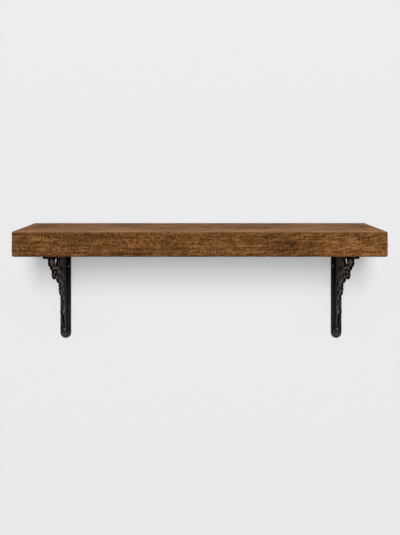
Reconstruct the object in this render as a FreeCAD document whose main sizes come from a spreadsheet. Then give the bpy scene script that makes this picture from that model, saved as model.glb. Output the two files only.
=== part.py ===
import FreeCAD, Part
import math
import os

import Sketcher
from FreeCAD import Placement, Rotation, Vector

# Bracket wall shelf: a thick timber board on two cast leaf brackets, with the screws that hold it.
# X runs along the board, Y points into the wall (its face is Y = 0, the room is -Y) and Z is up.
# The origin is on the wall face, midway between the brackets, level with the upper wall screws.
# On a bracket, reach is the distance out from the wall and drop the distance below the board.

# Driving dimensions, in millimetres and degrees.
SIZES = {
    # The board.
    "board_width": 914,
    "board_depth": 254,
    "board_thickness": 62,
    "board_arris": 1.5,
    "board_offset": -3.5,
    # The bracket's two straps: the arm under the board and the leg on the wall.
    "bracket_spacing": 745,
    "strap_width": 29.4,
    "strap_thickness": 6,
    "strap_edge_round": 1.2,
    "arm_length": 251,
    "arm_corner_round": 7,
    "leg_length": 254,
    # The leaf web between the straps, rooted inside both, and the round ribs that stand proud of it.
    "web_thickness": 4,
    "web_root": 3,
    "web_cove": 2.5,
    "pierced_corner_round": 3,
    "eye_radius": 2.6,
    "spine_radius": 4.5,
    "flute_radius": 4.2,
    "margin_radius": 3.1,
    "vein_radius": 2.9,
    # The boss at the foot of the leg.
    "boss_radius": 7,
    "boss_height": 18,
    "boss_draft": 4,
    "boss_edge_round": 1,
    # Where the screws go.
    "upper_screw_drop": 56,
    "lower_screw_drop": 227,
    "screw_side_offset": 9,
    "shelf_screw_reach": 150,
    "clearance_radius": 2.6,
    # The screws themselves.
    "head_radius": 3.9,
    "head_height": 3.2,
    "head_rim": 0.6,
    "slot_width": 1.2,
    "slot_depth": 1.5,
    "shank_radius": 2.3,
    "thread_radius": 2,
    "point_length": 6,
    "wall_thread_length": 34,
    "shelf_thread_length": 26,
    "pilot_radius": 2.1,
    "pilot_depth": 36,
}

# Points of the leaf, each a reach and a drop.
# The scalloped margin runs from the arm's tip to the leaf's own tip: each lobe bulges through its crown
# to its notch, and the undercut then leads back to the spine.
LEAF_POINTS = {
    "leaf_start": (231, 4),
    "lobe_1_crown": (234, 16),
    "lobe_1_notch": (209, 22),
    "lobe_2_crown": (205, 35),
    "lobe_2_notch": (186, 38),
    "lobe_3_crown": (187.5, 53),
    "lobe_3_notch": (178, 61),
    "lobe_4_crown": (156, 65.2),
    "lobe_4_notch": (131, 66),
    "lobe_5_crown": (117.5, 79.5),
    "lobe_5_notch": (96, 88),
    "lobe_6_crown": (90, 105),
    "lobe_6_notch": (67, 125),
    "lobe_7_crown": (64, 150),
    "lobe_7_notch": (57, 174),
    "undercut_bow": (46, 170),
    "undercut_root": (33, 167),
    # The spine that carries the leaf, the flutes that fan up from it to the arm, and the lobes' veins.
    "spine_foot": (17, 222),
    "spine_bow": (90, 88),
    "spine_head": (229, 11.5),
    "flute_1_foot": (163, 35),
    "flute_1_bow": (146, 24),
    "flute_1_head": (133, 5),
    "flute_2_foot": (121, 61),
    "flute_2_bow": (110, 40),
    "flute_2_head": (105, 5),
    "flute_3_foot": (84, 95),
    "flute_3_bow": (82, 50),
    "flute_3_head": (79, 5),
    "flute_4_foot": (53, 134),
    "flute_4_bow": (56, 65),
    "flute_4_head": (54, 5),
    "flute_5_foot": (30, 178),
    "flute_5_bow": (31, 85),
    "flute_5_head": (30, 5),
    "vein_1_foot": (205, 19.5),
    "vein_1_bow": (219, 16),
    "vein_1_head": (232, 16.5),
    "vein_2_foot": (182, 27.5),
    "vein_2_bow": (193, 30),
    "vein_2_head": (204, 34.5),
    "vein_3_foot": (168, 34),
    "vein_3_bow": (176.5, 43),
    "vein_3_head": (184, 53),
    "vein_4_foot": (140, 49),
    "vein_4_bow": (150, 57),
    "vein_4_head": (153, 64.5),
    "vein_5_foot": (112, 69.5),
    "vein_5_bow": (115, 76),
    "vein_5_head": (116, 80),
    "vein_6_foot": (76, 104),
    "vein_6_bow": (81, 105.5),
    "vein_6_head": (88.5, 104.5),
    "vein_7_foot": (50, 141),
    "vein_7_bow": (57, 144),
    "vein_7_head": (62, 152),
    # The opening pierced through the leaf below the arm, and the two eyes drilled through the large lobe.
    "pierced_rear": (137, 18),
    "pierced_rear_bow": (153, 27),
    "pierced_foot": (170, 36),
    "pierced_front_bow": (175.5, 28),
    "pierced_front": (178, 18),
    "eye_1": (161, 47),
    "eye_2": (161, 57.5),
}
LOBE_COUNT = 7
FLUTE_COUNT = 5
VEIN_COUNT = 7
EYE_COUNT = 2

SHEET = "sizes"
TOUCH = 0.001
LEFT, RIGHT = "-", "+"


def cell(name):
    """Expression that reads one driving dimension."""
    return f"{SHEET}.{name}"


def make_sheet(doc):
    """Put every driving dimension into a named cell of the sheet."""
    rows = dict(SIZES)
    for name, (reach, drop) in LEAF_POINTS.items():
        rows[f"{name}_reach"] = reach
        rows[f"{name}_drop"] = drop
    sheet = doc.addObject("Spreadsheet::Sheet", SHEET)
    for row, (name, size) in enumerate(rows.items(), start=1):
        sheet.set(f"A{row}", name.replace("_", " "))
        sheet.set(f"B{row}", str(size))
        sheet.setAlias(f"B{row}", name)
    doc.recompute()


def leaf_point(name):
    """Expressions for a leaf point in the web's sketch plane, which is the bracket's middle plane."""
    return f"-{cell(name + '_reach')}", f"{cell('upper_screw_drop')} - {cell(name + '_drop')}"


class Outline:
    """A sketch on one of a body's origin planes, with every corner pinned to sheet expressions."""

    def __init__(self, body, name, role, lift=None):
        plane = next(item for item in body.Origin.OriginFeatures if item.Role == role)
        self.sketch = body.newObject("Sketcher::SketchObject", name)
        self.sketch.AttachmentSupport = (plane, "")
        self.sketch.MapMode = "FlatFace"
        if lift:
            self.sketch.setExpression("AttachmentOffset.Base.z", lift)

    def value(self, expression):
        """Present value of an expression, as a plain number."""
        return float(self.sketch.evalExpression(expression))

    def spot(self, point):
        """Present place of a point that is given as two expressions."""
        return Vector(self.value(point[0]), self.value(point[1]), 0)

    def bind(self, constraint, expression):
        """Add a constraint and tie its size to an expression."""
        row = self.sketch.addConstraint(constraint)
        self.sketch.setExpression(f"Constraints[{row}]", expression)

    def pin(self, curve, end, point):
        """Hold one end of a curve at two distances from the sketch's origin."""
        spot = self.spot(point)
        self.bind(Sketcher.Constraint("DistanceX", -1, 1, curve, end, spot.x), point[0])
        self.bind(Sketcher.Constraint("DistanceY", -1, 1, curve, end, spot.y), point[1])

    def begin(self, point):
        """Say where the outline starts."""
        self.first_point = point
        self.first_end = None
        self.last_point = point
        self.last_end = None

    def join(self, curve, near, far, point):
        """Tie a new curve to the one before it, and pin its far end or close the outline there."""
        if self.last_end:
            self.sketch.addConstraint(Sketcher.Constraint("Coincident", *self.last_end, curve, near))
        else:
            self.first_end = (curve, near)
            self.pin(curve, near, self.first_point)
        if point == self.first_point:
            self.sketch.addConstraint(Sketcher.Constraint("Coincident", curve, far, *self.first_end))
        else:
            self.pin(curve, far, point)
        self.last_end = (curve, far)
        self.last_point = point

    def line(self, point):
        """Straight stretch to a point."""
        segment = Part.LineSegment(self.spot(self.last_point), self.spot(point))
        curve = self.sketch.addGeometry(segment, False)
        self.join(curve, 1, 2, point)

    def arc(self, bow, point):
        """Round stretch through a bow point to an end point."""
        start, middle, stop = self.spot(self.last_point), self.spot(bow), self.spot(point)
        circle = Part.Circle(start, middle, stop)
        centre = circle.Center
        leftward = (middle - start).cross(stop - middle).z > 0
        ends = (start, stop) if leftward else (stop, start)
        angles = [math.atan2(end.y - centre.y, end.x - centre.x) for end in ends]
        level_circle = Part.Circle(centre, Vector(0, 0, 1), circle.Radius)
        curve = self.sketch.addGeometry(Part.ArcOfCircle(level_circle, *angles), False)
        near, far = (1, 2) if leftward else (2, 1)
        self.join(curve, near, far, point)
        mark = self.sketch.addGeometry(Part.Point(middle), True)
        self.pin(mark, 1, bow)
        self.sketch.addConstraint(Sketcher.Constraint("PointOnObject", mark, 1, curve))

    def circle(self, centre, radius):
        """Whole circle about a point."""
        size = self.value(radius)
        curve = self.sketch.addGeometry(Part.Circle(self.spot(centre), Vector(0, 0, 1), size), False)
        self.pin(curve, 3, centre)
        self.bind(Sketcher.Constraint("Radius", curve, size), radius)

    def rectangle(self, left, low, right, high):
        """Rectangle between two opposite corners."""
        self.begin((left, low))
        for corner in ((right, low), (right, high), (left, high), (left, low)):
            self.line(corner)


def make_body(doc, label):
    """Empty body for one sub-part."""
    body = doc.addObject("PartDesign::Body", label)
    body.Label = label
    return body


def pad(body, name, outline, length, reverse=False, both_ways=False):
    """Raise an outline into a solid, from its plane or half to each side of it."""
    feature = body.newObject("PartDesign::Pad", name)
    feature.Profile = outline.sketch
    feature.setExpression("Length", length)
    feature.Reversed = reverse
    if both_ways:
        feature.SideType = "Symmetric"
    body.Document.recompute()
    return feature


def pocket(body, name, outline, depth=None):
    """Cut an outline out of the body, upwards to a depth or right through, and see that it cut."""
    before = body.Shape.Volume
    feature = body.newObject("PartDesign::Pocket", name)
    feature.Profile = outline.sketch
    if depth:
        feature.setExpression("Length", depth)
        feature.Reversed = True
    else:
        feature.Type = "ThroughAll"
        feature.SideType = "Symmetric"
    body.Document.recompute()
    if body.Shape.Volume > before - TOUCH:
        raise RuntimeError(f"{name} cut nothing from {body.Label}")
    return feature


def round_edges(body, name, base, radius, wanted):
    """Round those edges of a feature that a test picks out."""
    edges = enumerate(base.Shape.Edges, start=1)
    feature = body.newObject("PartDesign::Fillet", name)
    feature.Base = (base, [f"Edge{number}" for number, edge in edges if wanted(edge)])
    feature.setExpression("Radius", radius)
    body.Document.recompute()
    return feature


def level(edge, axis):
    """Place of an edge along an axis, or None where it isn't square to that axis."""
    places = [getattr(vertex, axis) for vertex in edge.Vertexes]
    return places[0] if max(places) - min(places) < TOUCH else None


def is_at(place, target):
    """Whether an edge's place, if it has one, is the place looked for."""
    return place is not None and abs(place - target) < TOUCH


def add_rib(body, name, radius, foot, bow, head):
    """Round rib along an arc through three leaf points, so that it stands proud of both faces of the web."""
    path = Outline(body, f"{name}_path", "YZ_Plane")
    path.begin(leaf_point(foot))
    path.arc(leaf_point(bow), leaf_point(head))
    body.Document.recompute()
    section = body.newObject("Sketcher::SketchObject", f"{name}_section")
    section.AttachmentSupport = (path.sketch, "Edge1")
    section.MapMode = "NormalToEdge"
    body.Document.recompute()
    size = float(section.evalExpression(radius))
    section.addGeometry(Part.Circle(Vector(), Vector(0, 0, 1), size), False)
    section.addConstraint(Sketcher.Constraint("Coincident", 0, 3, -1, 1))
    row = section.addConstraint(Sketcher.Constraint("Radius", 0, size))
    section.setExpression(f"Constraints[{row}]", radius)
    feature = body.newObject("PartDesign::AdditivePipe", name)
    feature.Profile = section
    feature.Spine = (path.sketch, ["Edge1"])
    body.Document.recompute()


def make_board(doc):
    """Board hung a little off the brackets' middle, arrises eased, with blind pilots for the shelf screws."""
    body = make_body(doc, "shelf_board")
    middle, half = cell("board_offset"), f"{cell('board_width')} / 2"
    underside = cell("upper_screw_drop")
    plan = Outline(body, "board_plan", "XY_Plane", underside)
    plan.rectangle(f"{middle} - {half}", f"-{cell('board_depth')}", f"{middle} + {half}", "0")
    blank = pad(body, "board_blank", plan, cell("board_thickness"))

    def is_clear_of_wall(edge):
        return not is_at(level(edge, "Y"), 0)

    round_edges(body, "eased_arrises", blank, cell("board_arris"), is_clear_of_wall)
    pilots = Outline(body, "pilot_plan", "XY_Plane", underside)
    for side in (LEFT, RIGHT):
        for hand in (LEFT, RIGHT):
            across = f"{side}{cell('bracket_spacing')} / 2 {hand} {cell('screw_side_offset')}"
            pilots.circle((across, f"-{cell('shelf_screw_reach')}"), cell("pilot_radius"))
    pocket(body, "pilot_holes", pilots, cell("pilot_depth"))
    return body


def add_straps(body, half, top):
    """Leg on the wall with a half-round foot, arm under the board with rounded corners, edges softened."""
    foot = f"{top} - {cell('leg_length')}"
    leg = Outline(body, "leg_outline", "XZ_Plane")
    leg.begin((f"-{half}", top))
    leg.line((f"-{half}", f"{foot} + {half}"))
    leg.arc(("0", foot), (half, f"{foot} + {half}"))
    leg.line((half, top))
    leg.line((f"-{half}", top))
    pad(body, "leg", leg, cell("strap_thickness"))
    arm = Outline(body, "arm_outline", "XY_Plane", top)
    arm.rectangle(f"-{half}", f"-{cell('arm_length')}", half, "0")
    arm_strap = pad(body, "arm", arm, cell("strap_thickness"), reverse=True)

    tip = -SIZES["arm_length"]
    front = -SIZES["strap_thickness"]
    under = SIZES["upper_screw_drop"] - SIZES["strap_thickness"]

    def is_tip_corner(edge):
        return is_at(level(edge, "Y"), tip) and level(edge, "X") is not None

    def is_outer_edge(edge):
        middle = edge.CenterOfMass
        on_leg = is_at(level(edge, "Y"), front) and middle.z < under - TOUCH
        on_arm = is_at(level(edge, "Z"), under) and middle.y < front - TOUCH
        return on_leg or on_arm

    corners = round_edges(body, "arm_corners", arm_strap, cell("arm_corner_round"), is_tip_corner)
    round_edges(body, "strap_edges", corners, cell("strap_edge_round"), is_outer_edge)


def add_boss(body, top):
    """Drafted boss at the foot of the leg, which the spine runs into."""
    outline = Outline(body, "boss_outline", "XZ_Plane")
    outline.circle(("0", f"{top} - {cell('lower_screw_drop')}"), cell("boss_radius"))
    boss = pad(body, "boss", outline, cell("boss_height"))
    boss.setExpression("TaperAngle", f"-{cell('boss_draft')}")
    body.Document.recompute()
    face = -SIZES["boss_height"]
    round_edges(body, "boss_edge", boss, cell("boss_edge_round"), lambda edge: is_at(level(edge, "Y"), face))


def add_web(body, top):
    """Lobed web, pierced by its opening and eyes, with coved roots along both straps."""
    root = cell("web_root")
    corner = (f"-{root}", f"{top} - {root}")
    margin = Outline(body, "web_margin", "YZ_Plane")
    margin.begin(corner)
    margin.line(leaf_point("leaf_start"))
    for number in range(1, LOBE_COUNT + 1):
        margin.arc(leaf_point(f"lobe_{number}_crown"), leaf_point(f"lobe_{number}_notch"))
    margin.arc(leaf_point("undercut_bow"), leaf_point("undercut_root"))
    margin.line(leaf_point("spine_foot"))
    margin.line((f"-{root}", leaf_point("spine_foot")[1]))
    margin.line(corner)
    pad(body, "web", margin, cell("web_thickness"), both_ways=True)

    pierced = Outline(body, "pierced_outline", "YZ_Plane")
    pierced.begin(leaf_point("pierced_rear"))
    pierced.arc(leaf_point("pierced_rear_bow"), leaf_point("pierced_foot"))
    pierced.arc(leaf_point("pierced_front_bow"), leaf_point("pierced_front"))
    pierced.line(leaf_point("pierced_rear"))
    opening = pocket(body, "pierced_opening", pierced)
    corners = [LEAF_POINTS[f"pierced_{end}"] for end in ("rear", "foot", "front")]
    drop_zero = SIZES["upper_screw_drop"]

    def is_pierced_corner(edge):
        return any(
            is_at(level(edge, "Y"), -reach) and is_at(level(edge, "Z"), drop_zero - drop)
            for reach, drop in corners
        )

    rounded = round_edges(body, "pierced_corners", opening, cell("pierced_corner_round"), is_pierced_corner)

    side = SIZES["web_thickness"] / 2
    front = -SIZES["strap_thickness"]
    under = drop_zero - SIZES["strap_thickness"]

    def is_web_root(edge):
        across = level(edge, "X")
        on_side = across is not None and is_at(abs(across), side)
        return on_side and (is_at(level(edge, "Y"), front) or is_at(level(edge, "Z"), under))

    round_edges(body, "web_coves", rounded, cell("web_cove"), is_web_root)

    eyes = Outline(body, "eye_outline", "YZ_Plane")
    for number in range(1, EYE_COUNT + 1):
        eyes.circle(leaf_point(f"eye_{number}"), cell("eye_radius"))
    pocket(body, "eyes", eyes)


def add_ribs(body):
    """Round ribs on both faces of the web: rolled margins and veins of the lobes, flutes and spine."""
    start = "leaf_start"
    for number in range(1, LOBE_COUNT + 1):
        crown, notch = f"lobe_{number}_crown", f"lobe_{number}_notch"
        add_rib(body, f"margin_{number}", cell("margin_radius"), start, crown, notch)
        start = notch
    counts = {"vein": VEIN_COUNT, "flute": FLUTE_COUNT}
    for kind, count in counts.items():
        for number in range(1, count + 1):
            name = f"{kind}_{number}"
            ends = [f"{name}_{end}" for end in ("foot", "bow", "head")]
            add_rib(body, name, cell(f"{kind}_radius"), *ends)
    add_rib(body, "spine", cell("spine_radius"), "spine_foot", "spine_bow", "spine_head")


def drill_bracket(body, top):
    """Clearance holes: two beside the web and one in the boss for the wall, two in the arm for the board."""
    sides = [f"{hand}{cell('screw_side_offset')}" for hand in (LEFT, RIGHT)]
    wall_holes = Outline(body, "wall_hole_plan", "XZ_Plane")
    for across in sides:
        wall_holes.circle((across, "0"), cell("clearance_radius"))
    wall_holes.circle(("0", f"{top} - {cell('lower_screw_drop')}"), cell("clearance_radius"))
    pocket(body, "wall_holes", wall_holes)
    arm_holes = Outline(body, "arm_hole_plan", "XY_Plane", top)
    for across in sides:
        arm_holes.circle((across, f"-{cell('shelf_screw_reach')}"), cell("clearance_radius"))
    pocket(body, "arm_holes", arm_holes)


def make_bracket(doc, label, side):
    """One casting: arm, leg, and the pierced leaf web with its ribs and foot boss."""
    body = make_body(doc, label)
    half = f"{cell('strap_width')} / 2"
    top = cell("upper_screw_drop")
    add_straps(body, half, top)
    add_boss(body, top)
    add_web(body, top)
    add_ribs(body)
    drill_bracket(body, top)
    body.setExpression("Placement.Base.x", f"{side}{cell('bracket_spacing')} / 2")
    return body


def make_screw(doc, label, grip, thread_length, place, turn):
    """Round-head slotted wood screw, modelled head down along Z with its seat at zero, then put in place."""
    body = make_body(doc, label)
    head, shank, thread = cell("head_radius"), cell("shank_radius"), cell("thread_radius")
    crown, rim = cell("head_height"), cell("head_rim")
    rise = f"({crown} - {rim})"
    chord = f"hypot({head}; {rise})"
    # The dome is a cap of a ball, so the middle of its profile lies half a chord out from the axis.
    dome_middle = f"-({crown} + {rim}) / 2 - {head} * ({chord} - {head}) / (2 * {rise})"
    end = f"{grip} + {thread_length}"
    profile = Outline(body, f"{label}_profile", "XZ_Plane")
    profile.begin(("0", f"-{crown}"))
    profile.arc((f"{chord} / 2", dome_middle), (head, f"-{rim}"))
    for corner in (
        (head, "0"),
        (shank, "0"),
        (shank, grip),
        (thread, grip),
        (thread, end),
        ("0", f"{end} + {cell('point_length')}"),
        ("0", f"-{crown}"),
    ):
        profile.line(corner)
    turned = body.newObject("PartDesign::Revolution", f"{label}_turned")
    turned.Profile = profile.sketch
    turned.ReferenceAxis = (profile.sketch, ["V_Axis"])
    doc.recompute()
    slot = Outline(body, f"{label}_slot_plan", "XY_Plane", f"-{crown}")
    slot.rectangle(f"-{head}", f"-{cell('slot_width')} / 2", head, f"{cell('slot_width')} / 2")
    pocket(body, f"{label}_slot", slot, cell("slot_depth"))
    body.Placement = Placement(Vector(), turn)
    for axis, size in zip("xyz", place):
        body.setExpression(f"Placement.Base.{axis}", size)
    return body


def make_screws(doc, side_name, side):
    """The screws of one bracket: three into the wall and two up into the board."""
    into_wall = Rotation(Vector(1, 0, 0), -90)
    upwards = Rotation()
    middle = f"{side}{cell('bracket_spacing')} / 2"
    top = cell("upper_screw_drop")
    strap, boss = cell("strap_thickness"), cell("boss_height")
    wall_thread, shelf_thread = cell("wall_thread_length"), cell("shelf_thread_length")
    inward = RIGHT if side == LEFT else LEFT
    screws = []
    for row, hand in (("inner", inward), ("outer", side)):
        across = f"{middle} {hand} {cell('screw_side_offset')}"
        wall_place = (across, f"-{strap}", "0")
        shelf_place = (across, f"-{cell('shelf_screw_reach')}", f"{top} - {strap}")
        wall_label = f"{side_name}_upper_{row}_wall_screw"
        shelf_label = f"{side_name}_{row}_shelf_screw"
        screws.append(make_screw(doc, wall_label, strap, wall_thread, wall_place, into_wall))
        screws.append(make_screw(doc, shelf_label, strap, shelf_thread, shelf_place, upwards))
    low_place = (middle, f"-{boss}", f"{top} - {cell('lower_screw_drop')}")
    screws.append(make_screw(doc, f"{side_name}_lower_wall_screw", boss, wall_thread, low_place, into_wall))
    return screws


def check(doc, pieces):
    """Stop if any object failed to build or any piece is not one sound solid."""
    for item in doc.Objects:
        if "Invalid" in item.State or "Error" in item.State:
            raise RuntimeError(f"{item.Name} failed to build")
    for piece in pieces:
        shape = piece.Shape
        if shape.isNull() or not shape.isValid() or len(shape.Solids) != 1:
            raise RuntimeError(f"{piece.Label} is not one sound solid")


def main():
    """Build every piece, check them all and write one file for each."""
    doc = FreeCAD.newDocument("bracket_wall_shelf")
    make_sheet(doc)
    pieces = [make_board(doc)]
    for side_name, side in (("left", LEFT), ("right", RIGHT)):
        pieces.append(make_bracket(doc, f"{side_name}_bracket", side))
        pieces.extend(make_screws(doc, side_name, side))
    doc.recompute()
    check(doc, pieces)
    os.makedirs("parts", exist_ok=True)
    for piece in pieces:
        piece.Shape.exportStep(f"parts/{piece.Label}.step")
        print(f"{piece.Label}: {piece.Shape.Volume / 1000:.2f} cm3")


main()
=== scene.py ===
"""Looks of the bracket wall shelf: a worn timber board on two cast leaf brackets, with its screws.

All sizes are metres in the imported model's frame: X runs along the board, Y points into the wall (its
face is Y = 0, the room is -Y) and Z is up. On a bracket, reach is the distance out from the wall and
drop the distance below the board.
"""

import itertools
import logging
import math
from dataclasses import dataclass
from enum import Enum
from typing import Sequence

import bmesh
import bpy
import numpy as np
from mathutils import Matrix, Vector


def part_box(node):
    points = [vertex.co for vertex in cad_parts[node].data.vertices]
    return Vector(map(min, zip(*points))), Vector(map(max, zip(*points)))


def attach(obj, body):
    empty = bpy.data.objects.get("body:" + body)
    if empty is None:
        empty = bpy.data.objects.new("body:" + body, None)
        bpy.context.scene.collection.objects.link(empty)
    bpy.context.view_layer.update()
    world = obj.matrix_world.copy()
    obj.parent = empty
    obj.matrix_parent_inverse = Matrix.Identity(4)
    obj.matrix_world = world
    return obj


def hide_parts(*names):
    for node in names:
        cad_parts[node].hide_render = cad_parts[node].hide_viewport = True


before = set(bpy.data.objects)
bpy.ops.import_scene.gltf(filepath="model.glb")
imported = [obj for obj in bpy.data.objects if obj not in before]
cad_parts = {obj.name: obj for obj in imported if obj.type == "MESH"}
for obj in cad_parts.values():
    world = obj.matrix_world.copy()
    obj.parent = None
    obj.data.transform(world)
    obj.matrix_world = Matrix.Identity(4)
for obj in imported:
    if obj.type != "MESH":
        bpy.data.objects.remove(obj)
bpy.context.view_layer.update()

LOG = logging.getLogger("bracket_wall_shelf")
MM = 0.001
BODY = "root"

# Numbers on a noise lattice and the factors that mix a corner's place into one of them.
NOISE_TABLE = 8192
NOISE_PRIMES = np.array([73856093, 19349663, 83492791])
# Gap that closes and length that vanishes when a skin is cleaned.
MERGE_GAP = 0.002 * MM
SLIVER = 0.001 * MM

Array = np.ndarray
Pair = tuple[float, float]
Triple = tuple[float, float, float]
Colour = Triple
Row = tuple[float, ...]
Socket = bpy.types.NodeSocket
Mesh = bpy.types.Mesh
Thing = bpy.types.Object
Material = bpy.types.Material


class Slot(Enum):
    """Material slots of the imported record."""

    TIMBER = "shelf_timber"
    IRON = "bracket_iron"
    STEEL = "screw_steel"


class Side(Enum):
    """The two ends of the shelf, with the sign of each one's X."""

    LEFT = -1
    RIGHT = 1

    @property
    def label(self) -> str:
        """Word that starts the names of this side's nodes."""
        return self.name.lower()


class Axis(Enum):
    """Directions in which a screw is driven: into the wall, or up into the board."""

    INTO_WALL = 1
    UPWARDS = 2


# Noise and meshes


def value_noise(points: Array, seed: int) -> Array:
    """Smooth random values: numbers drawn for the corners of a unit lattice, blended between them.

    Args:
        points: Places to read, one row of three coordinates each, in lattice cells.
        seed: Seed of the numbers on the lattice.

    Returns:
        One value from 0 to 1 for each point.
    """
    table = np.random.default_rng(seed).random(NOISE_TABLE)
    base = np.floor(points).astype(np.int64)
    part = points - base
    blend = part * part * (3 - 2 * part)
    total = np.zeros(len(points))
    for corner in itertools.product((0, 1), repeat=3):
        place = np.bitwise_xor.reduce((base + np.array(corner)) * NOISE_PRIMES, axis=1)
        weight = np.prod(np.where(np.array(corner), blend, 1 - blend), axis=1)
        total += weight * table[place % len(table)]
    return total


def layered_noise(points: Array, wavelength: Sequence[float], seed: int, layers: int = 3) -> Array:
    """Value noise in several layers, each half the size and half the weight of the one before.

    Args:
        points: Places to read, in metres.
        wavelength: Size of the coarsest cells along X, Y and Z, in metres.
        seed: Seed of the first layer.
        layers: Number of layers.

    Returns:
        One value from 0 to 1 for each point.
    """
    scaled = points / np.array(wavelength)
    weights = 0.5 ** np.arange(layers)
    total = sum(weight * value_noise(scaled * 2**row, seed + row) for row, weight in enumerate(weights))
    return total / weights.sum()


def fade(values: Array, start: float, stop: float) -> Array:
    """Straight line from 0 at start to 1 at stop, level beyond both; the stop may be the lower one."""
    return np.clip((values - start) / (stop - start), 0, 1)


def bell(distance: Array, width: float) -> Array:
    """Bell-shaped falling away from 1 at no distance to about a third at one width."""
    return np.exp(-((distance / width) ** 2))


def grid_faces(rows: int, columns: int) -> Array:
    """Quads of a grid whose last column joins its first.

    Args:
        rows: Number of rows of points.
        columns: Number of points round each row.

    Returns:
        Four point numbers for each face.
    """
    row = np.arange(rows - 1)[:, None] * columns
    column = np.arange(columns)[None, :]
    after = (column + 1) % columns
    following = row + columns
    return np.stack([row + column, row + after, following + after, following + column], -1).reshape(-1, 4)


def skin(name: str, vertices: Array, faces: Array) -> Mesh:
    """Closed, smooth-shaded mesh whose seams and poles are merged and whose faces point outwards.

    Args:
        name: Name of the mesh.
        vertices: Points in metres, one row each.
        faces: Point numbers, one row for each face.

    Returns:
        The new mesh.
    """
    mesh = bpy.data.meshes.new(name)
    mesh.from_pydata(vertices.tolist(), [], faces.tolist())
    shape = bmesh.new()
    shape.from_mesh(mesh)
    bmesh.ops.remove_doubles(shape, verts=shape.verts, dist=MERGE_GAP)
    bmesh.ops.dissolve_degenerate(shape, edges=shape.edges, dist=SLIVER)
    bmesh.ops.recalc_face_normals(shape, faces=shape.faces)
    shape.to_mesh(mesh)
    shape.free()
    mesh.shade_smooth()
    return mesh


def rows_of(items: bpy.types.bpy_prop_collection, name: str) -> Array:
    """The three numbers that each item of a collection has under one name.

    Args:
        items: Vertices or normals of a mesh.
        name: Name of the numbers.

    Returns:
        One row for each item.
    """
    flat = np.empty(len(items) * 3)
    items.foreach_get(name, flat)
    return flat.reshape(-1, 3)


def points_of(mesh: Mesh) -> Array:
    """Vertex places of a mesh, one row each."""
    return rows_of(mesh.vertices, "co")


def normals_of(mesh: Mesh) -> Array:
    """Vertex normals of a mesh, one row each."""
    return rows_of(mesh.vertex_normals, "vector")


def move_points(mesh: Mesh, points: Array) -> None:
    """Put a mesh's vertices at new places."""
    mesh.vertices.foreach_set("co", points.ravel())
    mesh.update()


def paint(mesh: Mesh, name: str, values: Array) -> None:
    """Store one number from 0 to 1 for each vertex, for a finish to read."""
    layer = mesh.attributes.new(name, "FLOAT", "POINT")
    layer.data.foreach_set("value", np.clip(values, 0, 1).astype(np.float32))


def neighbour_mean(mesh: Mesh, values: Array) -> Array:
    """Mean of each vertex's neighbours along its edges.

    Args:
        mesh: Mesh that holds the edges.
        values: One row for each vertex.

    Returns:
        One row for each vertex.
    """
    flat = np.empty(len(mesh.edges) * 2, dtype=np.int64)
    mesh.edges.foreach_get("vertices", flat)
    start, stop = flat[0::2], flat[1::2]
    here, there = np.concatenate([start, stop]), np.concatenate([stop, start])
    count = np.bincount(here, minlength=len(values))
    sums = [np.bincount(here, weights=column[there], minlength=len(values)) for column in values.T]
    return np.stack(sums, -1) / count[:, None]


def lift_of(mesh: Mesh, rounds: int) -> Array:
    """How far each vertex stands proud of its neighbourhood, in millimetres.

    Args:
        mesh: Mesh to measure.
        rounds: Rounds of averaging, which widen the neighbourhood.

    Returns:
        One height for each vertex.
    """
    points = points_of(mesh)
    smooth = points
    for _ in range(rounds):
        smooth = neighbour_mean(mesh, smooth)
    return np.sum((points - smooth) * normals_of(mesh), axis=1) / MM


def add_object(name: str, data: bpy.types.ID) -> Thing:
    """Put a mesh, lamp or camera into the scene.

    Args:
        name: Name of the object.
        data: What it shows.

    Returns:
        The object.
    """
    made = bpy.data.objects.new(name, data)
    bpy.context.scene.collection.objects.link(made)
    return made


def place_piece(mesh: Mesh, name: str, node: str, material: Material) -> Thing:
    """Show a mesh as a piece that stands for one node and rides on the shelf's only body.

    Args:
        mesh: Finished mesh, in place.
        name: Name of the piece.
        node: Node that the piece replaces.
        material: Finish of the piece.

    Returns:
        The new object.
    """
    mesh.materials.clear()
    mesh.materials.append(material)
    piece = add_object(name, mesh)
    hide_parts(node)
    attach(piece, BODY)
    LOG.info("%s stands for %s: %d faces", name, node, len(mesh.polygons))
    return piece


# Node trees


@dataclass(frozen=True)
class Grain:
    """Noise with one lump to a cell, whose size along X, Y and Z is in metres, turned about Y by a tilt."""

    cell: Triple
    detail: float = 2
    roughness: float = 0.5
    twist: float = 0
    tilt: float = 0


@dataclass(frozen=True)
class Dots:
    """Scattered dots, drawn on X and Z and alike at every Y, with at most one to a cell.

    The cell's size is in metres and the dots' radius in cells. Only a share of the cells holds a dot.
    """

    cell: Triple
    radius: float
    share: float
    tilt: float = 0
    shift: Triple = (0, 0, 0)


def seen_rays(tree: bpy.types.NodeTree) -> Socket:
    """1 for camera, glossy and transmission rays, and 0 for all others.

    Args:
        tree: Tree that the nodes go into.

    Returns:
        The value.
    """
    path = tree.nodes.new("ShaderNodeLightPath")
    seen = path.outputs["Is Camera Ray"]
    for name in ("Is Glossy Ray", "Is Transmission Ray"):
        either = tree.nodes.new("ShaderNodeMath")
        either.operation = "MAXIMUM"
        tree.links.new(seen, either.inputs[0])
        tree.links.new(path.outputs[name], either.inputs[1])
        seen = either.outputs[0]
    return seen


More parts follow.
